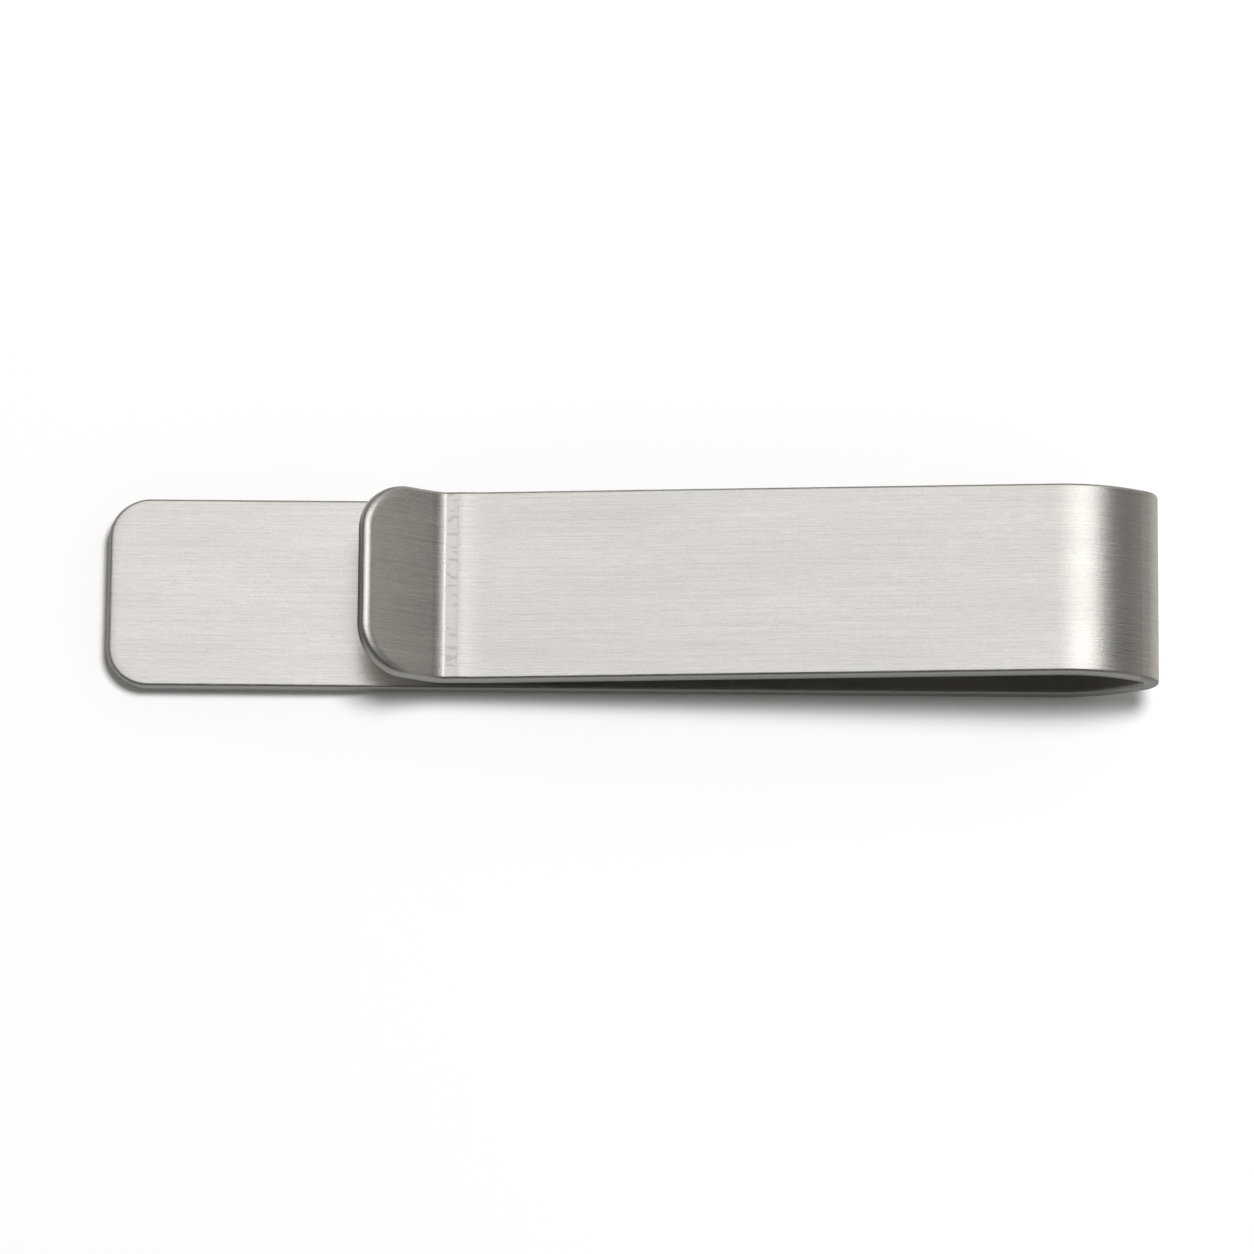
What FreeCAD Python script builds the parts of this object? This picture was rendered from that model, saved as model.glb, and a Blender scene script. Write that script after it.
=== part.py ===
import FreeCAD, Part
import math
import os
import Sketcher

# A tie clip bent from one strip of brushed steel. The front bar lies face down on z = 0, the
# fold is at +X, and the spring arm comes back over the bar towards -X. Y runs across the strip,
# evenly to both sides. The strip is parted at its bend lines, so that it can flex there.

DOCUMENT = FreeCAD.newDocument("TieClip")

# Driving sizes in millimetres and degrees. Each bend radius is the inside of its bend.
SIZES = [
    ("clip_length", 50.8, "from the bar's open end to the nose of the fold"),
    ("strip_width", 9.5, "width of the strip"),
    ("strip_thickness", 0.8, "thickness of the strip"),
    ("edge_round", 0.2, "rounding of the strip's edges"),
    ("bar_corner_radius", 2.1, "corners of the bar's open end, seen from above"),
    ("nose_bend_radius", 0.35, "tight bend at the nose of the fold"),
    ("shoulder_bend_radius", 6.7, "wide bend on each side of the nose"),
    ("shoulder_turn", 36.0, "degrees that each wide bend turns"),
    ("arm_length", 28.8, "straight run of the spring arm"),
    ("pinch_gap", 0.65, "free gap between the crease and the bar"),
    ("crease_bend_radius", 1.6, "bend of the crease, on its upper side"),
    ("lip_rise", 26.0, "degrees that the thumb lip slopes above the bar"),
    ("lip_length", 4.05, "flat run of the thumb lip beyond the crease"),
    ("lip_corner_radius", 2.4, "corners of the thumb lip, seen square on"),
]

# Values that follow from the sizes. The arm's slope is the one that closes the strip onto its gap.
LAYOUT = [
    ("nose_radius", "Sizes.nose_bend_radius + Sizes.strip_thickness"),
    ("shoulder_radius", "Sizes.shoulder_bend_radius + Sizes.strip_thickness"),
    ("crease_radius", "Sizes.crease_bend_radius + Sizes.strip_thickness"),
    ("shoulder_run", "(shoulder_radius - nose_radius) * sin(Sizes.shoulder_turn)"),
    ("shoulder_drop", "(shoulder_radius - nose_radius) * cos(Sizes.shoulder_turn)"),
    ("nose_x", "Sizes.clip_length / 2 - nose_radius"),
    ("nose_z", "shoulder_radius - shoulder_drop"),
    ("bar_end_x", "nose_x - shoulder_run"),
    ("bar_length", "bar_end_x + Sizes.clip_length / 2"),
    ("crease_reach", "shoulder_run + Sizes.arm_length"),
    ("crease_rise", "nose_z + Sizes.crease_bend_radius"),
    ("crease_z", "Sizes.strip_thickness + Sizes.pinch_gap + crease_radius"),
    ("crease_span", "sqrt(crease_reach ^ 2 + crease_rise ^ 2)"),
    ("arm_slope", "atan2(crease_rise; crease_reach) + asin((nose_z - crease_z) / crease_span)"),
    ("crease_x", "nose_x - crease_reach * cos(arm_slope) - crease_rise * sin(arm_slope)"),
    ("crease_turn", "Sizes.lip_rise * 1 deg + arm_slope"),
    ("arm_under", "nose_z - Sizes.strip_thickness"),
    ("arm_root_x", "nose_x - shoulder_run * cos(arm_slope) - arm_under * sin(arm_slope)"),
    ("arm_root_z", "nose_z - shoulder_run * sin(arm_slope) + arm_under * cos(arm_slope)"),
    ("lip_root_x", "crease_x - crease_radius * sin(Sizes.lip_rise)"),
    ("lip_root_z", "crease_z - crease_radius * cos(Sizes.lip_rise)"),
    ("lower_nose_turn", "90 deg - Sizes.shoulder_turn * 1 deg"),
    ("upper_nose_turn", "lower_nose_turn + arm_slope"),
]

ACROSS = FreeCAD.Vector(0, 1, 0)
ALONG = FreeCAD.Vector(1, 0, 0)
FLAT_NORMAL = FreeCAD.Vector(0, 0, 1)
QUARTER_TURN = math.pi / 2
NEAR = 1e-6

# Which point of a sketch element a constraint takes hold of.
START = 1
END = 2
CENTRE = 3
SKETCH_ORIGIN = (-1, 1)


def add_sheet(label, rows):
    """Make a sheet with one named value on each row, a note beside it."""
    sheet = DOCUMENT.addObject("Spreadsheet::Sheet", label)
    for number, (name, content, note) in enumerate(rows, start=1):
        sheet.set("A%d" % number, name)
        sheet.set("B%d" % number, content)
        sheet.setAlias("B%d" % number, name)
        sheet.set("C%d" % number, note)
    return sheet


def value(name):
    """Read one named value from the two sheets as a plain number, angles in degrees."""
    sheet = sizes if name in size_names else layout
    found = sheet.get(name)
    return getattr(found, "Value", found)


def add_body(label):
    """Make a body for one sub-part."""
    body = DOCUMENT.addObject("PartDesign::Body", label)
    body.Label = label
    return body


def add_sketch(body, plane_role):
    """Add a sketch on one of the body's own origin planes."""
    plane = [item for item in body.Origin.OriginFeatures if item.Role == plane_role][0]
    sketch = body.newObject("Sketcher::SketchObject", body.Label + "_sketch")
    sketch.AttachmentSupport = [(plane, "")]
    sketch.MapMode = "FlatFace"
    return sketch


def bind(sketch, constraint, name, expression):
    """Add a dimension to a sketch and tie it to an expression."""
    index = sketch.addConstraint(constraint)
    sketch.renameConstraint(index, name)
    sketch.setExpression("Constraints." + name, expression)


def add_pad(body, sketch, length, side_type):
    """Raise the sketch into a solid and return the pad."""
    pad = body.newObject("PartDesign::Pad", body.Label + "_pad")
    pad.Profile = sketch
    pad.SideType = side_type
    pad.setExpression("Length", length)
    sketch.Visibility = False
    DOCUMENT.recompute()
    return pad


def add_fillet(body, base, wanted, radius):
    """Round the edges of the base feature that the test function picks, and return the fillet."""
    names = ["Edge%d" % number for number, edge in enumerate(base.Shape.Edges, start=1) if wanted(edge)]
    fillet = body.newObject("PartDesign::Fillet", body.Label + "_fillet")
    fillet.Base = (base, names)
    fillet.setExpression("Radius", radius)
    DOCUMENT.recompute()
    return fillet


def place(body, x, z, axis, angle):
    """Tie a body's place to two layout values and its turn about an axis to an expression."""
    start_angle = 1.0
    body.Placement = FreeCAD.Placement(FreeCAD.Vector(0, 0, 0), FreeCAD.Rotation(axis, start_angle))
    body.setExpression("Placement.Base.x", x)
    body.setExpression("Placement.Base.z", z)
    body.setExpression("Placement.Rotation.Angle", angle)


def is_arc(edge):
    """True for the curved edges of a bend."""
    return edge.Curve.TypeId == "Part::GeomCircle"


def runs_along(edge):
    """True for straight edges that run along the strip."""
    return edge.Curve.TypeId == "Part::GeomLine" and abs(edge.Curve.Direction.x) > 1 - NEAR


def is_free_corner(edge):
    """True for the upright edges at a plate's free end, away from its seam at x = 0."""
    upright = edge.Curve.TypeId == "Part::GeomLine" and abs(edge.Curve.Direction.z) > 1 - NEAR
    return upright and edge.CenterOfMass.x < -NEAR


def is_rim(edge):
    """True for the edges round a plate's two flat sides, without the ones at its seam at x = 0."""
    box = edge.BoundBox
    return box.ZLength < NEAR and box.XMin < -NEAR


def draw_rectangle(sketch, length):
    """Draw a plate from its seam at x = 0 back to its free end, even about the strip's middle."""
    half_width = value("strip_width") / 2
    corners = [
        FreeCAD.Vector(0, -half_width, 0),
        FreeCAD.Vector(0, half_width, 0),
        FreeCAD.Vector(-value(length), half_width, 0),
        FreeCAD.Vector(-value(length), -half_width, 0),
    ]
    ends = corners[1:] + corners[:1]
    seam, far, free, near = [sketch.addGeometry(Part.LineSegment(a, b)) for a, b in zip(corners, ends)]
    for line, following in ((seam, far), (far, free), (free, near), (near, seam)):
        sketch.addConstraint(Sketcher.Constraint("Coincident", line, END, following, START))
    for line in (seam, free):
        sketch.addConstraint(Sketcher.Constraint("Vertical", line))
    for line in (far, near):
        sketch.addConstraint(Sketcher.Constraint("Horizontal", line))
    sketch.addConstraint(Sketcher.Constraint("Symmetric", seam, START, seam, END, *SKETCH_ORIGIN))
    across = Sketcher.Constraint("DistanceY", seam, START, seam, END, value("strip_width"))
    bind(sketch, across, "across", "Sizes.strip_width")
    along = Sketcher.Constraint("DistanceX", far, END, far, START, value(length))
    owner = "Sizes." if length in size_names else "Layout."
    bind(sketch, along, "along", owner + length)


def make_plate(label, length, corner_radius):
    """Make a flat end of the strip: its free end has round corners and its rim is eased."""
    body = add_body(label)
    sketch = add_sketch(body, "XY_Plane")
    draw_rectangle(sketch, length)
    pad = add_pad(body, sketch, "Sizes.strip_thickness", "One side")
    corners = add_fillet(body, pad, is_free_corner, corner_radius)
    add_fillet(body, corners, is_rim, "Sizes.edge_round")
    return body


def make_arm():
    """Make the straight run of the strip between the fold and the crease."""
    body = add_body("spring_arm")
    sketch = add_sketch(body, "XY_Plane")
    draw_rectangle(sketch, "arm_length")
    pad = add_pad(body, sketch, "Sizes.strip_thickness", "One side")
    add_fillet(body, pad, runs_along, "Sizes.edge_round")
    return body


def add_arc(sketch, centre, radius, first_angle, last_angle):
    """Draw an arc, anticlockwise from its first angle to its last."""
    circle = Part.Circle(centre, FLAT_NORMAL, radius)
    return sketch.addGeometry(Part.ArcOfCircle(circle, first_angle, last_angle))


def add_line(sketch, first, last):
    """Join an end of one arc to an end of another with a line, and return the line."""
    line = sketch.addGeometry(Part.LineSegment(sketch.getPoint(*first), sketch.getPoint(*last)))
    sketch.addConstraint(Sketcher.Constraint("Coincident", line, START, *first))
    sketch.addConstraint(Sketcher.Constraint("Coincident", line, END, *last))
    return line


def make_half_fold(label, nose_turn):
    """Make one half of the fold, from its seam at the nose up and back to its straight root.

    The nose's centre is the origin. The outside and the inside of the strip share their centres.
    """
    body = add_body(label)
    sketch = add_sketch(body, "XZ_Plane")
    nose_centre = FreeCAD.Vector(0, 0, 0)
    shoulder_centre = FreeCAD.Vector(-value("shoulder_run"), -value("shoulder_drop"), 0)
    joint_angle = QUARTER_TURN - math.radians(value("shoulder_turn"))
    seam_angle = joint_angle - math.radians(value(nose_turn))
    nose_arcs = []
    shoulder_arcs = []
    for nose_size, shoulder_size in (("nose_radius", "shoulder_radius"),
                                     ("nose_bend_radius", "shoulder_bend_radius")):
        nose = add_arc(sketch, nose_centre, value(nose_size), seam_angle, joint_angle)
        shoulder = add_arc(sketch, shoulder_centre, value(shoulder_size), joint_angle, QUARTER_TURN)
        sketch.addConstraint(Sketcher.Constraint("Coincident", nose, CENTRE, *SKETCH_ORIGIN))
        sketch.addConstraint(Sketcher.Constraint("Tangent", nose, END, shoulder, START))
        nose_arcs.append(nose)
        shoulder_arcs.append(shoulder)
    outer_nose, inner_nose = nose_arcs
    outer_shoulder, inner_shoulder = shoulder_arcs
    seam = add_line(sketch, (outer_nose, START), (inner_nose, START))
    root = add_line(sketch, (outer_shoulder, END), (inner_shoulder, END))
    sketch.addConstraint(Sketcher.Constraint("PointOnObject", *SKETCH_ORIGIN, seam))
    sketch.addConstraint(Sketcher.Constraint("Vertical", root))
    sketch.addConstraint(Sketcher.Constraint("Coincident", outer_shoulder, CENTRE, inner_shoulder, CENTRE))
    sketch.addConstraint(Sketcher.Constraint("PointOnObject", outer_shoulder, CENTRE, root))
    outside = Sketcher.Constraint("Radius", outer_nose, value("nose_radius"))
    bind(sketch, outside, "outside", "Layout.nose_radius")
    inside = Sketcher.Constraint("Radius", inner_nose, value("nose_bend_radius"))
    bind(sketch, inside, "inside", "Sizes.nose_bend_radius")
    shoulder_size = Sketcher.Constraint("Radius", outer_shoulder, value("shoulder_radius"))
    bind(sketch, shoulder_size, "shoulder", "Layout.shoulder_radius")
    shoulder_angle = Sketcher.Constraint("Angle", outer_shoulder, math.radians(value("shoulder_turn")))
    bind(sketch, shoulder_angle, "shoulder_angle", "Sizes.shoulder_turn")
    nose_angle = Sketcher.Constraint("Angle", outer_nose, math.radians(value(nose_turn)))
    bind(sketch, nose_angle, "nose_angle", "Layout." + nose_turn)
    pad = add_pad(body, sketch, "Sizes.strip_width", "Symmetric")
    add_fillet(body, pad, is_arc, "Sizes.edge_round")
    return body


def make_crease():
    """Make the short bend that pinches the tie, from the arm's end round to the lip.

    The bend's centre is the origin, above the strip, and the arm meets it straight below.
    """
    body = add_body("pinch_crease")
    sketch = add_sketch(body, "XZ_Plane")
    centre = FreeCAD.Vector(0, 0, 0)
    turn = math.radians(value("crease_turn"))
    under = add_arc(sketch, centre, value("crease_radius"), -QUARTER_TURN - turn, -QUARTER_TURN)
    upper = add_arc(sketch, centre, value("crease_bend_radius"), -QUARTER_TURN - turn, -QUARTER_TURN)
    for arc in (under, upper):
        sketch.addConstraint(Sketcher.Constraint("Coincident", arc, CENTRE, *SKETCH_ORIGIN))
    lip_seam = add_line(sketch, (under, START), (upper, START))
    arm_seam = add_line(sketch, (under, END), (upper, END))
    sketch.addConstraint(Sketcher.Constraint("Vertical", arm_seam))
    for line in (lip_seam, arm_seam):
        sketch.addConstraint(Sketcher.Constraint("PointOnObject", *SKETCH_ORIGIN, line))
    under_radius = Sketcher.Constraint("Radius", under, value("crease_radius"))
    bind(sketch, under_radius, "under", "Layout.crease_radius")
    upper_radius = Sketcher.Constraint("Radius", upper, value("crease_bend_radius"))
    bind(sketch, upper_radius, "upper", "Sizes.crease_bend_radius")
    bind(sketch, Sketcher.Constraint("Angle", under, turn), "turn", "Layout.crease_turn")
    pad = add_pad(body, sketch, "Sizes.strip_width", "Symmetric")
    add_fillet(body, pad, is_arc, "Sizes.edge_round")
    return body


size_names = [name for name, number, note in SIZES]
sizes = add_sheet("Sizes", [(name, str(number), note) for name, number, note in SIZES])
layout = add_sheet("Layout", [(name, "=" + formula, "follows from the sizes") for name, formula in LAYOUT])
DOCUMENT.recompute()

# The bar and the lower half of the fold. The half is drawn upright and turned over about X.
front_bar = make_plate("front_bar", "bar_length", "Sizes.bar_corner_radius")
place(front_bar, "Layout.bar_end_x", "0", ACROSS, "0")
fold_lower = make_half_fold("fold_lower", "lower_nose_turn")
place(fold_lower, "Layout.nose_x", "Layout.nose_z", ALONG, "180")

# The upper half of the fold, the arm and the crease are tilted together by the arm's slope.
fold_upper = make_half_fold("fold_upper", "upper_nose_turn")
place(fold_upper, "Layout.nose_x", "Layout.nose_z", -ACROSS, "Layout.arm_slope")
spring_arm = make_arm()
place(spring_arm, "Layout.arm_root_x", "Layout.arm_root_z", -ACROSS, "Layout.arm_slope")
pinch_crease = make_crease()
place(pinch_crease, "Layout.crease_x", "Layout.crease_z", -ACROSS, "Layout.arm_slope")

# The lip turns up from the crease, away from the bar.
thumb_lip = make_plate("thumb_lip", "lip_length", "Sizes.lip_corner_radius")
place(thumb_lip, "Layout.lip_root_x", "Layout.lip_root_z", ACROSS, "Sizes.lip_rise")
DOCUMENT.recompute()

for item in DOCUMENT.Objects:
    if "Invalid" in item.State or "Error" in item.State:
        raise RuntimeError("%s could not be made: %s" % (item.Name, item.State))

os.makedirs("parts", exist_ok=True)
for body in (front_bar, fold_lower, fold_upper, spring_arm, pinch_crease, thumb_lip):
    shape = body.Shape
    if shape.isNull() or not shape.isValid():
        raise RuntimeError("%s has no valid shape" % body.Label)
    shape.exportStep(os.path.join("parts", body.Label + ".step"))
    box = shape.optimalBoundingBox(False)
    print("%s: x %.3f to %.3f, z %.3f to %.3f, %.3f cubic mm"
          % (body.Label, box.XMin, box.XMax, box.ZMin, box.ZMax, shape.Volume))

print("slope of the arm: %.3f degrees" % value("arm_slope"))
print("nose of the fold: x %.4f, z %.4f" % (value("nose_x") + value("nose_radius"), value("nose_z")))
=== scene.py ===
# %% [markdown]
# # A tie clip folded from one strip of brushed steel
# The real clip is a single strip: a long bar that shows on the tie, a fold at one end, and an arm that
# comes back over the bar and presses the tie against it. Nothing is riveted or soldered, so this lesson
# makes it the way a workshop does: cut a flat blank, round its edges, brush it, and only then bend it. The
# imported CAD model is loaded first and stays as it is, because it says where everything belongs.

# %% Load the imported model
import math

import bmesh
import bpy
from mathutils import Matrix, Vector


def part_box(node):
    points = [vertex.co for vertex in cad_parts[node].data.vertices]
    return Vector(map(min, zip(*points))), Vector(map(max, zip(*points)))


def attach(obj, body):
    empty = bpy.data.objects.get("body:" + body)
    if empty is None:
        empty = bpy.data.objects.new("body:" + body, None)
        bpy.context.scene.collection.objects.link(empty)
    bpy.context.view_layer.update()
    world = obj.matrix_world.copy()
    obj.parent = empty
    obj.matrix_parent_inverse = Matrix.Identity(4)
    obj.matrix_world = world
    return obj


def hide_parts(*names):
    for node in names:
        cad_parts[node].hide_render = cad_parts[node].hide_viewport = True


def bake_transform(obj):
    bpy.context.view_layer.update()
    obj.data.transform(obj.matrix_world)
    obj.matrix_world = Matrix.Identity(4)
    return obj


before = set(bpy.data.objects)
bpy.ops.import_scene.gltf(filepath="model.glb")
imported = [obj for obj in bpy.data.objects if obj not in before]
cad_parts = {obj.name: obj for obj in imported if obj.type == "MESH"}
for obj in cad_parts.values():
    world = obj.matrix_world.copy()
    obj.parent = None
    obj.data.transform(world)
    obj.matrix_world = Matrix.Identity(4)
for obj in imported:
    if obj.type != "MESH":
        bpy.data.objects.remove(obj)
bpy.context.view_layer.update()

# %% [markdown]
# ## Measuring before modelling
# A maker measures the drawing before cutting metal. The frame gives the strip's width and thickness and the
# length of the bar. The bend sizes are the clip's own few dimensions, in metres and degrees. Everything
# that follows is worked out from these values, so one change here changes the whole clip.

# %% Sizes of the strip
bar_low, bar_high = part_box("front_bar")
strip_width = bar_high.y - bar_low.y
strip_thickness = bar_high.z - bar_low.z
half_thickness = strip_thickness / 2
bar_length = bar_high.x - bar_low.x
print(f"strip {strip_width * 1000:.2f} mm wide and {strip_thickness * 1000:.2f} mm thick")

# %% Sizes of the fold and the arm, along the middle of the metal
half_turn = 180.0
shoulder_outer_radius = 0.0075
shoulder_radius = shoulder_outer_radius - half_thickness
shoulder_turn = 36.0
nose_outer_radius = 0.00115
nose_radius = nose_outer_radius - half_thickness
arm_slope = 4.3439
arm_length = 0.02749
nose_turn = half_turn + arm_slope - 2 * shoulder_turn
print(f"the nose turns {nose_turn:.1f} degrees")

# %% Sizes of the crease and the lip, along the middle of the metal
ridge_turn = 5.3
ridge_radius = 0.0100
ridge_length = 0.00025
dent_turn = 6.0
dent_radius = 0.0019
band_length = 0.00053
crease_radius = 0.00085
crease_turn = 19.0
rise_radius = 0.0031
lip_rise = 27.0
lip_curl = 3.0
lip_length = 0.003711
rise_turn = arm_slope + lip_rise - ridge_turn + dent_turn - crease_turn
lip_radius = lip_length / math.radians(lip_curl)
print(f"the crease turns {crease_turn + rise_turn:.1f} degrees, and the lip curls {lip_curl:.1f} more")

# %% [markdown]
# ## The line that the strip follows
# Seen from the side, the middle of the metal runs straight, bends, and runs straight again. One loose point
# is enough to draw that line: extrude it for each straight run and spin it round each bend's centre. The
# drawn line becomes a curve, which will later pull the flat blank into shape. Drawing the bends as true
# arcs keeps the metal's length right, as it is in a press brake.

# %% A point that travels along the line
line_step = 0.00003


class Traveller:
    """Draws with the selected point, and remembers where it is and which way it heads."""

    def __init__(self, place):
        self.place = Vector(place)
        self.heading = 0.0
        self.travelled = 0.0
        self.marks = {}

    def ahead(self):
        """The direction ahead, from the heading in degrees above the X axis."""
        angle = math.radians(self.heading)
        return Vector((math.cos(angle), 0, math.sin(angle)))

    def run(self, length, end_name):
        """Goes straight on, and marks where it ends."""
        move = self.ahead() * length
        bpy.ops.mesh.extrude_vertices_move(TRANSFORM_OT_translate={"value": move})
        self.place += move
        self.travelled += length
        self.marks[end_name] = self.travelled

    def bend(self, radius, turn, end_name):
        """Goes round an arc, upwards for a positive turn, and marks where it ends."""
        side = math.copysign(1.0, turn)
        to_centre = Matrix.Rotation(-side * math.pi / 2, 3, "Y") @ self.ahead() * radius
        centre = self.place + to_centre
        angle = math.radians(abs(turn))
        steps = round(radius * angle / line_step)
        bpy.ops.mesh.spin(steps=steps, angle=angle, center=centre, axis=(0, side, 0))
        self.place = centre - Matrix.Rotation(-side * angle, 3, "Y") @ to_centre
        self.heading += turn
        self.travelled += radius * angle
        self.marks[end_name] = self.travelled


print(f"one step along the line is {line_step * 1000:.2f} mm")


# %% Start with one loose point
def in_millimetres(place):
    """A place in metres, rounded for printing."""
    return [round(number * 1000, 3) for number in place]


seed_size = 0.001
line_start = Vector((bar_low.x, 0, half_thickness))
traveller = Traveller(line_start)
bpy.ops.object.select_all(action="DESELECT")
bpy.ops.mesh.primitive_plane_add(size=seed_size, location=line_start)
bend_line = bpy.context.object
bpy.ops.object.transform_apply(location=True, rotation=False, scale=False)
bpy.ops.object.mode_set(mode="EDIT")
bpy.ops.mesh.select_all(action="SELECT")
bpy.ops.mesh.merge(type="CENTER")
bpy.ops.mesh.select_mode(type="VERT")
bpy.ops.mesh.select_all(action="SELECT")
print("points to begin with:", len(bmesh.from_edit_mesh(bend_line.data).verts))
print("the line starts at", in_millimetres(traveller.place))

# %% Draw the bar, the fold and the arm
traveller.run(bar_length, "bar_end")
traveller.bend(shoulder_radius, shoulder_turn, "nose_start")
traveller.bend(nose_radius, nose_turn, "nose_end")
traveller.bend(shoulder_radius, shoulder_turn, "arm_start")
print("the arm starts at", in_millimetres(traveller.place))
traveller.run(arm_length, "arm_end")
print("the arm ends at", in_millimetres(traveller.place))

# %% Draw the crease and the lip
traveller.bend(ridge_radius, -ridge_turn, "ridge_start")
traveller.run(ridge_length, "ridge_end")
traveller.bend(dent_radius, dent_turn, "band_start")
traveller.run(band_length, "band_end")
traveller.bend(crease_radius, -crease_turn, "rise_start")
traveller.bend(rise_radius, -rise_turn, "lip_start")
traveller.bend(lip_radius, -lip_curl, "lip_end")
marks = traveller.marks
blank_length = marks["lip_end"]
print("the lip ends at", in_millimetres(traveller.place))
print(f"the strip is {blank_length * 1000:.2f} mm long when flat")


# %% Divide the straight runs into the same small steps
def pick_edges(piece, test):
    """Selects, in edit mode, the edges whose two ends pass the test."""
    bpy.ops.mesh.select_all(action="DESELECT")
    shape = bmesh.from_edit_mesh(piece.data)
    for edge in shape.edges:
        edge.select_set(test(edge.verts[0].co, edge.verts[1].co))
    bmesh.update_edit_mesh(piece.data)


most_cuts = 80
bpy.ops.mesh.select_mode(type="EDGE")
for length in (bar_length, arm_length, ridge_length, band_length):
    stretches = math.ceil(length / line_step / most_cuts)
    stretch = length / stretches
    if stretches > 1:
        pick_edges(bend_line, lambda a, b: abs((a - b).length - length) < line_step / 2)
        bpy.ops.mesh.subdivide(number_cuts=stretches - 1)
    pick_edges(bend_line, lambda a, b: abs((a - b).length - stretch) < line_step / 2)
    bpy.ops.mesh.subdivide(number_cuts=round(stretch / line_step) - 1)
print("steps on the line:", len(bmesh.from_edit_mesh(bend_line.data).edges))
bpy.ops.object.mode_set(mode="OBJECT")


# %% Turn the line into a curve
def take_up(piece):
    """Leaves one piece selected and active."""
    bpy.ops.object.select_all(action="DESELECT")
    piece.select_set(True)
    bpy.context.view_layer.objects.active = piece


take_up(bend_line)
bpy.ops.object.convert(target="CURVE")
bend_line = bpy.context.object
bend_line.name = "bend_line"
first_point = Vector(bend_line.data.splines[0].points[0].co[:3])
if (first_point - line_start).length > half_thickness:
    bpy.ops.object.mode_set(mode="EDIT")
    bpy.ops.curve.select_all(action="SELECT")
    bpy.ops.curve.switch_direction()
    bpy.ops.object.mode_set(mode="OBJECT")
bend_line.data.dimensions = "3D"
bend_line.data.twist_mode = "MINIMUM"
bend_line.data.use_deform_bounds = False
print("points on the curve:", len(bend_line.data.splines[0].points))

# %% [markdown]
# ## The flat blank
# A real blank is punched from strip, so its long sides keep the strip's own tight edge, while the two
# punched ends are tumbled rounder. The blank starts as a box with its four upright corner edges bevelled
# wide. Insets lay rings of points inside the rim on both faces, and the rings near the two ends are pressed
# down into a faint crown, deeper at the lip, where it catches the light as a bright line. A fine bevel then
# takes the sharpness off the whole rim.

# %% Punch the blank
bpy.ops.object.select_all(action="DESELECT")
bpy.ops.mesh.primitive_cube_add(
    size=1.0,
    location=(blank_length / 2, 0, 0),
    scale=(blank_length, strip_width, strip_thickness),
)
blank = bpy.context.object
blank.name = "blank"
bpy.ops.object.transform_apply(location=True, rotation=True, scale=True)
print("corners of the blank:", len(blank.data.vertices))

# %% Round its four corners
tiny = 1e-6
bar_corner_radius = 0.0020
lip_corner_radius = 0.0024
corner_segments = 24
round_profile = 0.5


def upright_at(x):
    """A test for the edges that stand upright at one end of the blank."""
    def test(a, b):
        return abs(a.x - x) < tiny and abs(b.x - x) < tiny and abs(a.z - b.z) > half_thickness
    return test


bpy.ops.object.mode_set(mode="EDIT")
bpy.ops.mesh.select_mode(type="EDGE")
for end, radius in ((0.0, bar_corner_radius), (blank_length, lip_corner_radius)):
    pick_edges(blank, upright_at(end))
    bpy.ops.mesh.bevel(offset=radius, segments=corner_segments, profile=round_profile, affect="EDGES")
print("faces round the blank:", len(bmesh.from_edit_mesh(blank.data).faces))

# %% Lay rings inside the rim
level = 0.999
ring_widths = (0.00017, 0.00009, 0.00009, 0.00009, 0.00009, 0.00004)
crown_width = sum(ring_widths[:-1])


def pick_level_faces(piece):
    """Selects, in edit mode, the faces that lie level."""
    bpy.ops.mesh.select_all(action="DESELECT")
    shape = bmesh.from_edit_mesh(piece.data)
    for face in shape.faces:
        face.select_set(abs(face.normal.z) > level)
    bmesh.update_edit_mesh(piece.data)


bpy.ops.mesh.select_mode(type="FACE")
pick_level_faces(blank)
for width in ring_widths:
    bpy.ops.mesh.inset(thickness=width, use_even_offset=True)
print(f"the crown is {crown_width * 1000:.2f} mm wide")


# %% Measure from the rim
def near_lip(place):
    """Whether a place on the blank is nearer to the lip's end than to the bar's end."""
    return place.x >= blank_length / 2


def from_end(place):
    """How far a place lies from the nearer end of the blank."""
    return min(place.x, blank_length - place.x)


def corner_at(place):
    """The corner radius at the nearer end."""
    return lip_corner_radius if near_lip(place) else bar_corner_radius


def from_rim(place):
    """How far a place lies inside the rounded rim, seen from above."""
    radius = corner_at(place)
    along = radius - from_end(place)
    across = radius - strip_width / 2 + abs(place.y)
    if along > 0 and across > 0:
        return radius - math.hypot(along, across)
    return radius - max(along, across)


blank_middle = Vector((blank_length / 2, 0, 0))
print(f"the middle lies {from_rim(blank_middle) * 1000:.2f} mm inside the rim")

# %% Press the crown at the two ends
bar_crown_depth = 0.00008
bar_crown_reach = 1.0
lip_crown_depth = 0.00016
lip_crown_reach = 1.5


def crown_share(place):
    """The share of the crown's depth: all of it at an end, none where a long side begins."""
    reach = lip_crown_reach if near_lip(place) else bar_crown_reach
    return max(0.0, min(1.0, reach * (1.0 - from_end(place) / corner_at(place))))


shape = bmesh.from_edit_mesh(blank.data)
for point in shape.verts:
    rim_share = max(0.0, 1.0 - from_rim(point.co) / crown_width)
    depth = lip_crown_depth if near_lip(point.co) else bar_crown_depth
    drop = depth * crown_share(point.co) * rim_share ** 2
    point.co.z -= math.copysign(drop, point.co.z)
bmesh.update_edit_mesh(blank.data)
print(f"the lip's rim is pressed down by {lip_crown_depth * 1000:.2f} mm")

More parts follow.
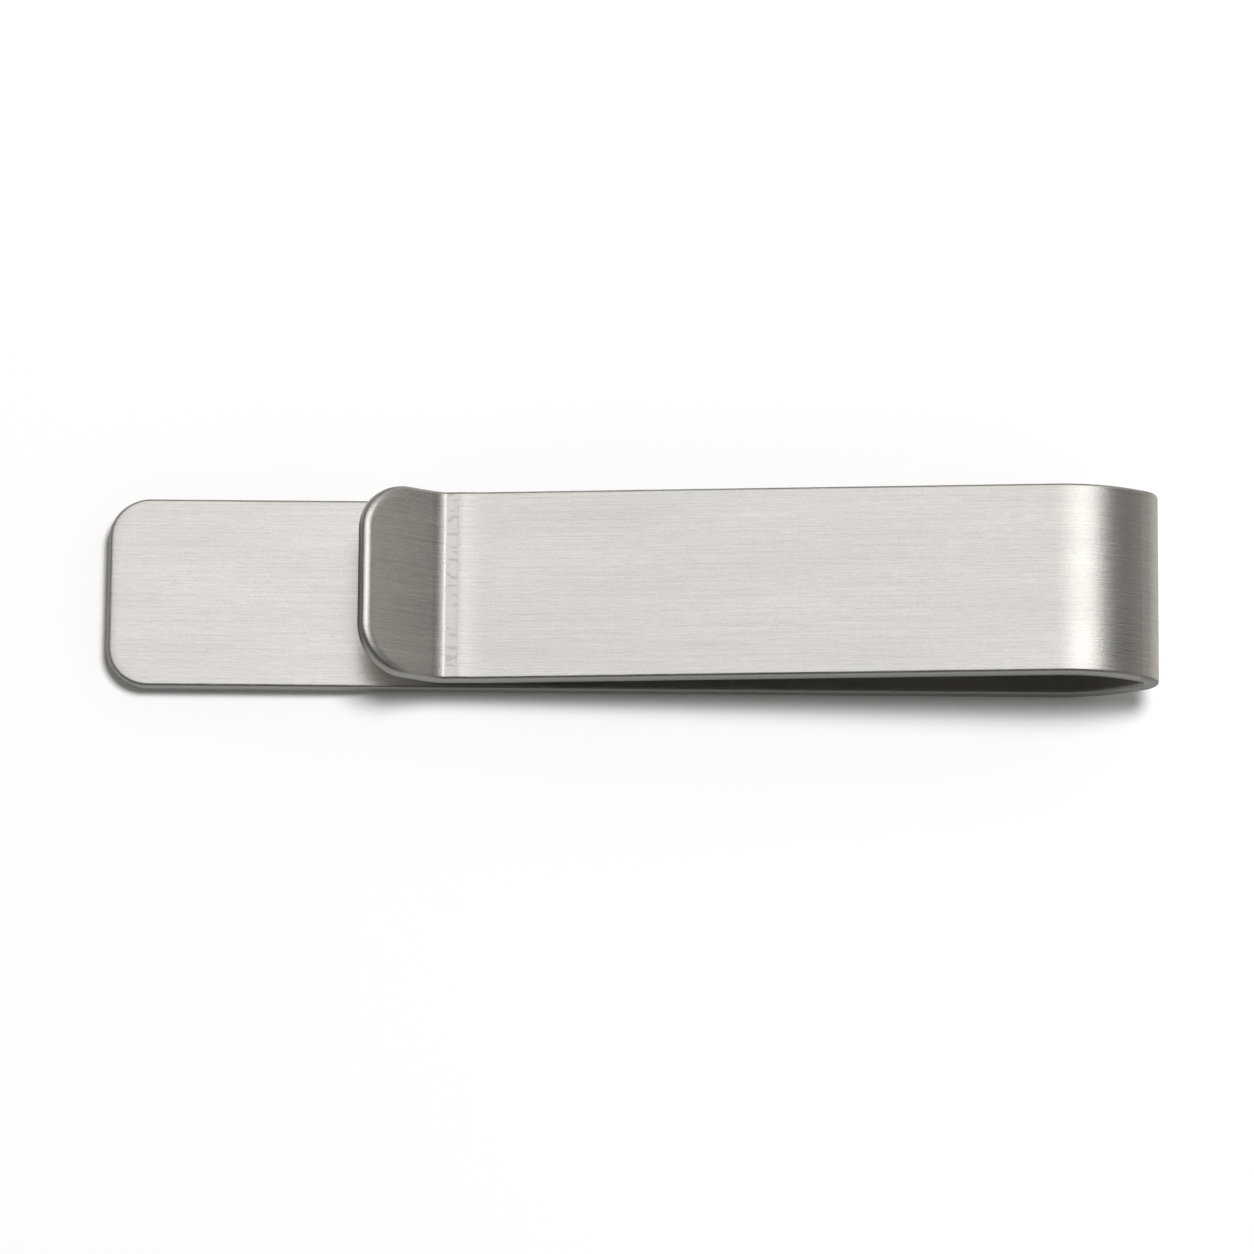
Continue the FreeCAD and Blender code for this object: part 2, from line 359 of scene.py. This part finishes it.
# %% Take the sharpness off the rim
rim_bevel = 0.000135
rim_segments = 5
bpy.ops.mesh.select_mode(type="EDGE")
pick_edges(blank, lambda a, b: from_rim(a) < tiny and from_rim(b) < tiny and a.z * b.z > 0)
bpy.ops.mesh.bevel(offset=rim_bevel, segments=rim_segments, profile=round_profile, affect="EDGES")
bpy.ops.object.mode_set(mode="OBJECT")
print("faces of the blank:", len(blank.data.polygons))

# %% [markdown]
# ## Cuts where the metal will bend
# A flat face can only bend where it has edges, so the blank is cut across at each bend: close together
# where the nose is tight, further apart where the bend is wide, and close together again at the root of the
# arm, which flexes a little in use. The brushing is laid on while the strip is still flat, as a map that
# measures metres along and across.

# %% Choose the places to cut
slot_lead = 0.0005
flex_length = 0.0056
lip_low, lip_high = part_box("thumb_lip")
slot_mouth = lip_low.x - bar_low.x + slot_lead
slot_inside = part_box("pinch_crease")[0].x - bar_low.x
marks["flex_end"] = marks["arm_start"] + flex_length
bend_counts = (
    ("bar_end", "nose_start", 24),
    ("nose_start", "nose_end", 56),
    ("nose_end", "arm_start", 24),
    ("arm_start", "flex_end", 28),
    ("flex_end", "arm_end", 30),
    ("arm_end", "ridge_start", 8),
    ("ridge_start", "ridge_end", 4),
    ("ridge_end", "band_start", 6),
    ("band_start", "band_end", 4),
    ("band_end", "rise_start", 16),
    ("rise_start", "lip_start", 16),
    ("lip_start", "lip_end", 12),
)
cuts = {slot_mouth, slot_inside}
for first, last, count in bend_counts:
    cuts.update(marks[first] + (marks[last] - marks[first]) * i / count for i in range(count + 1))
cuts = [place for place in sorted(cuts) if place < blank_length - tiny]
print("places to cut:", len(cuts))

# %% Cut the blank across and lay the brushing on it
take_up(blank)
bpy.ops.object.mode_set(mode="EDIT")
for place in cuts:
    bpy.ops.mesh.select_all(action="SELECT")
    bpy.ops.mesh.bisect(plane_co=(place, 0, 0), plane_no=(1, 0, 0), threshold=tiny)
bpy.ops.mesh.select_all(action="SELECT")
bpy.ops.uv.cube_project(cube_size=1.0, correct_aspect=False)
bpy.ops.object.mode_set(mode="OBJECT")
blank.data.uv_layers.active.name = "brushing"
map_places = [corner.uv.x for corner in blank.data.uv_layers["brushing"].data]
print("faces after cutting:", len(blank.data.polygons))
print("the brushing map spans", min(map_places), "to", max(map_places))

# %% [markdown]
# ## Traces of the work, and painted shade and highlight
# Cutting and bending leave traces that make steel look real. The cut edges are dull, and they are painted
# darker still as shade for the shadowed floor that they mirror. The press leaves a burnished band beside
# the crease, with a score line. The skin outside the tight nose is strained matt and painted darker as
# shade, which dims the floor it mirrors. The skin beside the nose is painted darker as shade, which deepens
# the dark band that the fold mirrors. The metal inside the slot and under the lip, and the bar's edge under
# the arm, are painted dark as shade. A ring inside the lip's rim is painted brighter as a highlight. A
# picture could be painted for these, but here each one is a rule that gives every point of the flat blank a
# value from 0 to 1, because a rule is easier to change.


# %% Cut edges, dull and painted darker as shade, which start more softly on the tumbled lip
def add_mask(name, rule):
    """Gives each point of the blank a value from 0 to 1, worked out from its place and normal."""
    blank.data.attributes.new(name, "FLOAT", "POINT")
    values = blank.data.attributes[name].data
    for point in blank.data.vertices:
        values[point.index].value = max(0.0, min(1.0, rule(point.co, point.normal)))
    print(name, "touches", sum(item.value > 0 for item in values), "points")


side_tilt_from = 0.25
side_tilt_range = 0.40
bar_tilt_from = 0.45
bar_tilt_range = 0.25
lip_level_to = 0.93
lip_level_range = 0.45


def sheared_and_shade_rule(place, normal):
    """How far the metal has turned away from the flat face, over a side or over an end."""
    over_side = (abs(normal.y) - side_tilt_from) / side_tilt_range
    if near_lip(place):
        over_end = (lip_level_to - abs(normal.z)) / lip_level_range
    else:
        over_end = (math.hypot(normal.x, normal.y) - bar_tilt_from) / bar_tilt_range
    return max(over_side, over_end)


# The edges picked out here are dull, and are also painted darker as shade for the shadowed floor and room
# that they mirror.
add_mask("sheared_and_shade", sheared_and_shade_rule)


# %% The pressed band and its score line
def pressed_rule(place, normal):
    """1 in the band that the press flattened beside the crease."""
    return 1.0 if marks["band_start"] < place.x + tiny and place.x < marks["band_end"] + tiny else 0.0


def scored_rule(place, normal):
    """1 on the line where the band starts."""
    return 1.0 if abs(place.x - marks["band_start"]) < tiny else 0.0


add_mask("pressed", pressed_rule)
add_mask("scored", scored_rule)

# %% The strained nose, and painted shade on it and on the skin beside it
nose_spread = 0.0003
fold_shade_length = 0.0011


def outside(place):
    """1 on the skin that ends up outside the fold, 0 on the skin inside it."""
    return 0.5 - 0.5 * place.z / half_thickness


def past_nose(place):
    """How far along the strip a place lies from the nose."""
    return max(marks["nose_start"] - place.x, place.x - marks["nose_end"])


def stretched_and_shade_rule(place, normal):
    """The outer skin on the nose and a little past it, made matt and also painted darker as shade."""
    return outside(place) if past_nose(place) < nose_spread else 0.0


def fold_shade_rule(place, normal):
    """Painted shade on the outer skin beside the nose, fading away from it."""
    beside_nose = max(0.0, 1.0 - (past_nose(place) - nose_spread) / fold_shade_length)
    return 0.0 if past_nose(place) < nose_spread else outside(place) * beside_nose


add_mask("stretched_and_shade", stretched_and_shade_rule)
add_mask("fold_shade", fold_shade_rule)

# %% Painted shade in the slot and a painted highlight ring
slot_fade = 0.004
highlight_ring_middle = 0.00042
highlight_ring_width = 0.00015


def slot_shade_rule(place, normal):
    """Painted shade on the inner skin from under the lip to the fold and back, fading out before the
    crease.
    """
    into_slot = (place.x - slot_mouth) / (slot_inside - slot_mouth)
    before_crease = (marks["arm_end"] - place.x) / slot_fade
    in_slot = max(0.0, min(1.0, into_slot, before_crease))
    return in_slot * (1.0 - outside(place))


def ring_highlight_rule(place, normal):
    """A painted highlight ring a little inside the lip's rim, as strong as the crown is deep."""
    near_ring = max(0.0, 1.0 - abs(from_rim(place) - highlight_ring_middle) / highlight_ring_width)
    return crown_share(place) * near_ring if near_lip(place) else 0.0


add_mask("slot_shade", slot_shade_rule)
add_mask("ring_highlight", ring_highlight_rule)

# %% [markdown]
# ## Three lengths of the same strip
# The clip flexes at its fold and along its arm, so the strip is shown as three lengths that meet in
# straight metal: the bar, the fold and the arm with its crease and lip. Each is a copy of the blank with
# the rest cut away. Parting them while flat is easy, because one upright cut can't catch another layer of
# the folded clip.

# %% Part the blank
seam_in_bar = 0.002
seam_in_arm = 0.0004
seam_before_fold = marks["bar_end"] - seam_in_bar
seam_after_fold = marks["arm_start"] + seam_in_arm


def cut_length(name, first, last):
    """A copy of the blank that keeps only the metal from first to last, closed at the cuts."""
    take_up(blank)
    bpy.ops.object.duplicate()
    length = bpy.context.object
    length.name = name
    length.data.name = name
    bpy.ops.object.mode_set(mode="EDIT")
    for place, away in ((first, True), (last, False)):
        if tiny < place < blank_length - tiny:
            bpy.ops.mesh.select_all(action="SELECT")
            bpy.ops.mesh.bisect(
                plane_co=(place, 0, 0),
                plane_no=(1, 0, 0),
                use_fill=True,
                clear_inner=away,
                clear_outer=not away,
                threshold=tiny,
            )
    bpy.ops.object.mode_set(mode="OBJECT")
    return length


front_bar_steel = cut_length("front_bar_steel", 0.0, seam_before_fold)
fold_steel = cut_length("fold_steel", seam_before_fold, seam_after_fold)
arm_steel = cut_length("arm_steel", seam_after_fold, blank_length)
clip_pieces = (front_bar_steel, fold_steel, arm_steel)
bpy.data.objects.remove(blank)
print("pieces:", [piece.name for piece in clip_pieces])

# %% [markdown]
# ## Bending
# A Curve modifier pulls each length along the drawn line: the distance along the blank becomes the distance
# along the line, and the metal's thickness stands square to it. Applying the modifier makes the bend part
# of the mesh, so that each finished piece sits at the origin with its place in its points, as the CAD nodes
# do.

# %% Bend the three lengths
smooth_below = math.radians(35)
for piece in clip_pieces:
    take_up(piece)
    bender = piece.modifiers.new("bender", "CURVE")
    bender.object = bend_line
    bender.deform_axis = "POS_X"
    bpy.ops.object.modifier_apply(modifier="bender")
    bpy.ops.object.shade_smooth_by_angle(angle=smooth_below)
    corners = [point.co for point in piece.data.vertices]
    low = [min(corner[axis] for corner in corners) for axis in range(3)]
    high = [max(corner[axis] for corner in corners) for axis in range(3)]
    print(piece.name, "from", in_millimetres(low), "to", in_millimetres(high), "mm")
bpy.data.objects.remove(bend_line)
print("lip tip in the CAD model:", in_millimetres((lip_low.x, lip_high.z)))

# %% [markdown]
# ## Brushed steel
# Satin steel is scratched in one direction by an abrasive belt. The scratches are finer than the eye can
# count: they stretch reflections across the grain and leave faint light and dark streaks along it. The
# streaks are noise drawn out along the brushing map, and one constant on the shader, Anisotropic, does the
# stretching. A picture of brushed metal would show its repeats on so long a strip, and the noise doesn't.


# %% Streaks drawn out along the brushing
def add_node(tree, kind, label, **settings):
    """Adds one node with a plain name and sets its options."""
    node = tree.nodes.new(kind)
    node.name = label
    node.label = label
    for name, value in settings.items():
        setattr(node, name, value)
    return node


def add_streaks(label, along, across, detail):
    """Noise drawn out along the brushing, with so many waves in a metre along and across it."""
    stretch = add_node(tree, "ShaderNodeMapping", label + " stretch")
    stretch.inputs["Scale"].default_value = (along, across, 1.0)
    noise = add_node(tree, "ShaderNodeTexNoise", label)
    noise.inputs["Scale"].default_value = 1.0
    noise.inputs["Detail"].default_value = detail
    noise.inputs["Roughness"].default_value = 0.55
    tree.links.new(brushing.outputs["UV"], stretch.inputs["Vector"])
    tree.links.new(stretch.outputs["Vector"], noise.inputs["Vector"])
    return noise.outputs["Fac"]


steel = bpy.data.materials.new("brushed_steel")
steel.use_nodes = True
tree = steel.node_tree
shader = tree.nodes["Principled BSDF"]
brushing = add_node(tree, "ShaderNodeUVMap", "brushing map", uv_map="brushing")
fine_streaks = add_streaks("fine streaks", along=1100.0, across=17000.0, detail=1.0)
long_streaks = add_streaks("long streaks", along=130.0, across=12000.0, detail=1.0)
grain_specks = add_streaks("grain specks", along=7000.0, across=17000.0, detail=1.0)
cloudiness = add_streaks("cloudiness", along=90.0, across=420.0, detail=2.0)
scratch_noise = add_streaks("scratch noise", along=230.0, across=18500.0, detail=0.0)
tick_noise = add_streaks("tick noise", along=1500.0, across=4500.0, detail=0.0)
score_noise = add_streaks("score noise", along=100.0, across=1500.0, detail=1.0)
print("nodes for the streaks:", len(tree.nodes))


# %% Streaks and scratches as values
def add_range(tree, value, label, low, high, new_low=0.0, new_high=1.0):
    """Maps a value from one range to another, clamped."""
    node = add_node(tree, "ShaderNodeMapRange", label)
    node.inputs["From Min"].default_value = low
    node.inputs["From Max"].default_value = high
    node.inputs["To Min"].default_value = new_low
    node.inputs["To Max"].default_value = new_high
    tree.links.new(value, node.inputs["Value"])
    return node.outputs["Result"]


def add_sum(label, operation, first, second):
    """Joins two values, or a value and a number, with one sum."""
    node = add_node(tree, "ShaderNodeMath", label, operation=operation)
    for socket, value in zip(node.inputs, (first, second)):
        if isinstance(value, (int, float)):
            socket.default_value = value
        else:
            tree.links.new(value, socket)
    return node.outputs["Value"]


fine_and_long = add_sum("fine and long", "ADD", fine_streaks, long_streaks)
streaks = add_sum("all streaks", "ADD", fine_and_long, grain_specks)
streak_tone = add_range(tree, streaks, "streak tone", low=1.15, high=1.85)
scratches = add_range(tree, scratch_noise, "scratches", low=0.76, high=0.92, new_high=0.5)
print("nodes with the scratches:", len(tree.nodes))


# %% Marks of the press in the band beside the crease
def add_mask_node(attribute):
    """Reads one of the blank's masks."""
    node = add_node(tree, "ShaderNodeAttribute", attribute + " mask", attribute_name=attribute)
    return node.outputs["Fac"]


pressed_mask = add_mask_node("pressed")
ticks = add_range(tree, tick_noise, "ticks", low=0.57, high=0.64)
band_ticks = add_sum("ticks in the band", "MULTIPLY", ticks, pressed_mask)
score_depth = add_range(tree, score_noise, "score depth", low=0.30, high=0.70)
score = add_sum("score along the band", "MULTIPLY", score_depth, add_mask_node("scored"))
press_marks = add_sum("ticks and score", "MAXIMUM", band_ticks, score)
marks_in_steel = add_sum("scratches and press marks", "MAXIMUM", scratches, press_marks)
print("nodes with the press marks:", len(tree.nodes))


# %% The colour of the brushed face and the band
def add_blend(label, amount, first, second, kind="MIX"):
    """Blends from one colour to another by an amount. Each colour is a link or four numbers."""
    node = add_node(tree, "ShaderNodeMix", label, data_type="RGBA", blend_type=kind)
    tree.links.new(amount, node.inputs["Factor"])
    for socket, colour in ((node.inputs[6], first), (node.inputs[7], second)):
        if isinstance(colour, tuple):
            socket.default_value = colour
        else:
            tree.links.new(colour, socket)
    return node.outputs[2]


dull_steel = (0.543, 0.528, 0.503, 1.0)
bright_steel = (0.703, 0.684, 0.649, 1.0)
scratched_steel = (0.38, 0.366, 0.347, 1.0)
burnished_steel = (0.63, 0.59, 0.57, 1.0)
marks_strength = 0.95
band_strength = 0.5
brushed_colour = add_blend("brushed colour", streak_tone, dull_steel, bright_steel)
some_marks = add_sum("part of the marks", "MULTIPLY", marks_in_steel, marks_strength)
marked_colour = add_blend("marked colour", some_marks, brushed_colour, scratched_steel)
some_band = add_sum("part of the band", "MULTIPLY", pressed_mask, band_strength)
band_colour = add_blend("band colour", some_band, marked_colour, burnished_steel)
print("nodes with the face's colour:", len(tree.nodes))

# %% The colour of the fold, the lip's ring, the slot and the edges, with painted shade and a painted highlight
# Painted shade: this tint darkens the outer skin beside the nose, deepening the dark band that the fold
# mirrors.
fold_shade_tint = (0.674, 0.668, 0.668, 1.0)
# The nose is matt, and this tint also darkens it as painted shade, dimming the floor that it mirrors.
nose_shade_tint = (0.803, 0.796, 0.795, 1.0)
# Painted highlight: this tint brightens a ring inside the lip's rim.
ring_highlight_tint = (1.42, 1.42, 1.42, 1.0)
# Painted shade: this colour darkens the inner skin inside the slot and under the lip.
slot_shade_steel = (0.45, 0.434, 0.412, 1.0)
# Painted shade: the edges are dull, and this colour makes them darker still for the shadowed floor that
# they mirror.
sheared_and_shaded_steel = (0.175, 0.169, 0.160, 1.0)
# Painted shade: this colour darkens the bar's edge inside the slot, under the arm.
slot_edge_shade_steel = (0.09, 0.087, 0.082, 1.0)
edge_strength = 0.85
nose_strain_and_shade_mask = add_mask_node("stretched_and_shade")
slot_shade_mask = add_mask_node("slot_shade")
fold_shade_colour = add_blend("fold shade colour", add_mask_node("fold_shade"), band_colour, fold_shade_tint, "MULTIPLY")
nose_colour = add_blend("nose colour", nose_strain_and_shade_mask, fold_shade_colour, nose_shade_tint, "MULTIPLY")
ring_highlight_colour = add_blend("ring highlight colour", add_mask_node("ring_highlight"), nose_colour, ring_highlight_tint, "MULTIPLY")
slot_shade_colour = add_blend("slot shade colour", slot_shade_mask, ring_highlight_colour, slot_shade_steel)
edge_shade_colour = add_blend("edge shade colour", slot_shade_mask, sheared_and_shaded_steel, slot_edge_shade_steel)
some_edge = add_sum("part of the edge", "MULTIPLY", add_mask_node("sheared_and_shade"), edge_strength)
steel_colour = add_blend("steel colour", some_edge, slot_shade_colour, edge_shade_colour)
tree.links.new(steel_colour, shader.inputs["Base Color"])
print("nodes with all colours:", len(tree.nodes))

# %% The grain's direction and the roughness
nose_roughening = 0.3
shader.inputs["Metallic"].default_value = 1.0
shader.inputs["Anisotropic"].default_value = 0.5
shader.inputs["Anisotropic Rotation"].default_value = 0.25
grain = add_node(tree, "ShaderNodeTangent", "grain direction", direction_type="UV_MAP", uv_map="brushing")
tree.links.new(grain.outputs["Tangent"], shader.inputs["Tangent"])
streaked = add_range(tree, streaks, "streak roughness", low=1.0, high=2.0, new_low=0.28, new_high=0.36)
clouds = add_range(tree, cloudiness, "cloud change", low=0.3, high=0.7, new_low=-0.02, new_high=0.02)
clouded = add_sum("clouded roughness", "ADD", streaked, clouds)
nose_change = add_sum("nose change", "MULTIPLY", nose_strain_and_shade_mask, nose_roughening)
roughness = add_sum("roughness", "ADD", clouded, nose_change)
tree.links.new(roughness, shader.inputs["Roughness"])
print("nodes with the roughness:", len(tree.nodes))

# %% The fine relief, and the steel on the pieces
mark_height = -0.5
mark_relief = add_sum("mark depth", "MULTIPLY", marks_in_steel, mark_height)
height = add_sum("height", "ADD", streaks, mark_relief)
relief = add_node(tree, "ShaderNodeBump", "relief")
relief.inputs["Strength"].default_value = 0.4
relief.inputs["Distance"].default_value = 0.00001
tree.links.new(height, relief.inputs["Height"])
tree.links.new(relief.outputs["Normal"], shader.inputs["Normal"])
for piece in clip_pieces:
    piece.data.materials.clear()
    piece.data.materials.append(steel)
print("steel material on", len(clip_pieces), "pieces")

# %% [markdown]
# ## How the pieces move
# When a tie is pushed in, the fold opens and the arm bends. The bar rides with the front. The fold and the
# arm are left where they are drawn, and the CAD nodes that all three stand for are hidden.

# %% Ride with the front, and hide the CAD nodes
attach(front_bar_steel, "front")
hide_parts("front_bar")
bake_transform(fold_steel)
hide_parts("fold_lower", "fold_upper")
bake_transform(arm_steel)
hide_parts("spring_arm", "pinch_crease", "thumb_lip")

# %% [markdown]
# ## Floor, light and camera
# Brushed metal shows the room more than itself, so the light is chosen for what the clip mirrors. A large
# soft box overhead, leaning back, makes the flat faces pale, and a strip beside it brightens the start of
# the fold. The low walls are pale and the ceiling round the boxes is dark, which the raised lip and the
# fold mirror. A third lamp lights only the floor, so that the shadow can be set without changing the metal.
# The camera alone sees a pale backdrop. The floor lies a hair below the clip, as under a bar that isn't
# quite flat, which widens the shadow.

# %% Floor
floor_size = 0.8
floor_drop = 0.0002
paper_white = (0.96, 0.96, 0.96, 1.0)
bpy.ops.object.select_all(action="DESELECT")
bpy.ops.mesh.primitive_plane_add(size=floor_size, location=(0, 0, -floor_drop))
floor = bpy.context.object
floor.name = "floor"
paper = bpy.data.materials.new("white_paper")
paper.use_nodes = True
paper_tree = paper.node_tree
paper_tree.nodes.clear()
paper_out = add_node(paper_tree, "ShaderNodeOutputMaterial", "paper out")
paper_face = add_node(paper_tree, "ShaderNodeBsdfDiffuse", "paper face")
paper_face.inputs["Color"].default_value = paper_white
paper_tree.links.new(paper_face.outputs["BSDF"], paper_out.inputs["Surface"])
floor.data.materials.append(paper)
print("floor", floor_size, "m wide,", round(floor_drop * 1000, 2), "mm below the clip")

# %% Room, with tones that change from its low walls to its ceiling
right_lift = 0.1
room = bpy.data.worlds.new("studio_room")
bpy.context.scene.world = room
room.use_nodes = True
room_tree = room.node_tree
room_light = room_tree.nodes["Background"]
room_direction = add_node(room_tree, "ShaderNodeTexCoord", "room direction")
room_sides = add_node(room_tree, "ShaderNodeSeparateXYZ", "room sides")
room_ramp = add_node(room_tree, "ShaderNodeValToRGB", "room tones")
room_tree.links.new(room_direction.outputs["Generated"], room_sides.inputs["Vector"])
room_height = add_node(room_tree, "ShaderNodeMath", "room height", operation="MULTIPLY_ADD")
room_height.inputs[1].default_value = right_lift
room_tree.links.new(room_sides.outputs["X"], room_height.inputs[0])
room_tree.links.new(room_sides.outputs["Z"], room_height.inputs[2])
low_to_high = add_range(room_tree, room_height.outputs["Value"], "low to high", low=-1.0, high=1.0)
room_tree.links.new(low_to_high, room_ramp.inputs["Fac"])
room_tree.links.new(room_ramp.outputs["Color"], room_light.inputs["Color"])
print("nodes for the room:", len(room_tree.nodes))

# %% Tones of the room
low_walls = ((0.0, 0.80), (0.62, 0.80), (0.70, 0.46))
high_walls_and_ceiling = ((0.786, 0.505), (0.826, 0.14), (0.90, 0.11), (1.0, 0.05))
room_tones = low_walls + high_walls_and_ceiling
warm_red = 1.04
warm_blue = 0.95
halfway = 0.5
while len(room_ramp.color_ramp.elements) < len(room_tones):
    room_ramp.color_ramp.elements.new(halfway)
for element, (place, tone) in zip(room_ramp.color_ramp.elements, room_tones):
    element.position = place
    element.color = (tone * warm_red, tone, tone * warm_blue, 1.0)
to_the_right = room_sides.outputs["X"]
brighter_right = add_range(room_tree, to_the_right, "brighter right", low=0.30, high=0.50, new_low=0.62)
room_tree.links.new(brighter_right, room_light.inputs["Strength"])
print("tones of the room:", len(room_ramp.color_ramp.elements))

# %% A pale backdrop for the camera alone
backdrop_white = (0.95, 0.95, 0.95, 1.0)
backdrop = add_node(room_tree, "ShaderNodeBackground", "backdrop")
backdrop.inputs["Color"].default_value = backdrop_white
seen_by = add_node(room_tree, "ShaderNodeLightPath", "seen by")
room_or_backdrop = add_node(room_tree, "ShaderNodeMixShader", "room or backdrop")
room_tree.links.new(seen_by.outputs["Is Camera Ray"], room_or_backdrop.inputs[0])
room_tree.links.new(room_light.outputs["Background"], room_or_backdrop.inputs[1])
room_tree.links.new(backdrop.outputs["Background"], room_or_backdrop.inputs[2])
room_out = room_tree.nodes["World Output"]
room_tree.links.new(room_or_backdrop.outputs["Shader"], room_out.inputs["Surface"])
print("backdrop white:", backdrop_white[:3])


# %% Lamps
def add_soft_box(name, lean_right, lean_back, distance, across, along, brightness):
    """A soft box that faces the clip, leaning from overhead by two angles in degrees."""
    right = math.tan(math.radians(lean_right))
    back = math.tan(math.radians(lean_back))
    towards = Vector((right, back, 1.0)).normalized()
    lamp_data = bpy.data.lights.new(name, "AREA")
    lamp_data.shape = "RECTANGLE"
    lamp_data.size = across
    lamp_data.size_y = along
    lamp_data.energy = brightness * math.pi * across * along
    lamp = bpy.data.objects.new(name, lamp_data)
    lamp.location = towards * distance
    lamp.rotation_euler = towards.to_track_quat("Z", "Y").to_euler()
    bpy.context.scene.collection.objects.link(lamp)
    print(f"{name}: {lamp_data.energy:.2f} W")
    return lamp


overhead_box = add_soft_box(
    "overhead_box", lean_right=0.0, lean_back=20.5, distance=0.9, across=0.88, along=0.72, brightness=1.27
)
side_strip = add_soft_box(
    "side_strip", lean_right=19.0, lean_back=20.5, distance=0.85, across=0.215, along=0.64, brightness=1.25
)
floor_key = add_soft_box(
    "floor_key", lean_right=15.5, lean_back=11.5, distance=1.0, across=0.32, along=0.38, brightness=24.4
)
overhead_box.visible_diffuse = False
side_strip.visible_diffuse = False
floor_key.visible_glossy = False

# %% Camera
camera_elevation = math.radians(72.4)
camera_distance = 0.50746
frame_width = 0.06081
picture_roll = math.radians(0.49)
aim_right = -0.0002360
aim_up = -0.0012657
sensor_width = 36.0
camera_data = bpy.data.cameras.new("camera")
camera_data.sensor_width = sensor_width
camera_data.lens = sensor_width * camera_distance / frame_width
camera = bpy.data.objects.new("camera", camera_data)
bpy.context.scene.collection.objects.link(camera)
camera_back = Vector((0, -math.cos(camera_elevation), math.sin(camera_elevation)))
camera_right = Vector((1, 0, 0))
camera_up = camera_back.cross(camera_right)
rolled_right = camera_right * math.cos(picture_roll) + camera_up * math.sin(picture_roll)
rolled_up = camera_up * math.cos(picture_roll) - camera_right * math.sin(picture_roll)
aim = camera_right * aim_right + camera_up * aim_up
turn = Matrix((rolled_right, rolled_up, camera_back)).transposed()
camera.matrix_world = Matrix.Translation(aim + camera_back * camera_distance) @ turn.to_4x4()
bpy.context.scene.camera = camera
bpy.context.scene.view_settings.view_transform = "Standard"
print("lens in millimetres:", round(camera_data.lens, 1))
